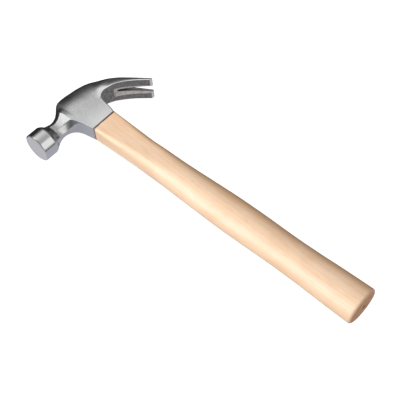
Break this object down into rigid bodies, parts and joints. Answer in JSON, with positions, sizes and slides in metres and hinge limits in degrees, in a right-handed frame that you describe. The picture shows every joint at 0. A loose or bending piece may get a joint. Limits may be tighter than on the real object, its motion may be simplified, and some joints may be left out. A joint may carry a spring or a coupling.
{
  "type": "claw hammer",
  "caption": "Curved-claw hammer: forged steel head with round poll, octagonal neck and split nail-pulling claws, wedged onto an oval wooden handle.",
  "frame": {"origin": "centre of the flat striking face", "axes": "hammer lying on its side: +X along the handle from head to butt, +Y from the striking face to the claws, +Z the normal of the upper cheek"},
  "size_m": [0.3427, 0.1231, 0.0286],
  "materials": {
    "forged_steel": "polished cheeks, poll and neck; rough as-forged inner faces on the claws",
    "handle_wood": "sanded pale hardwood with a thin satin lacquer",
    "wedge_wood": "unfinished hardwood, end grain showing",
    "wedge_steel": "plain mild steel, dull"
  },
  "bodies": {
    "root": {"hammer_head": "forged_steel", "handle": "handle_wood", "wood_wedge": "wedge_wood", "steel_wedge_front": "wedge_steel", "steel_wedge_rear": "wedge_steel"}
  },
  "joints": []
}
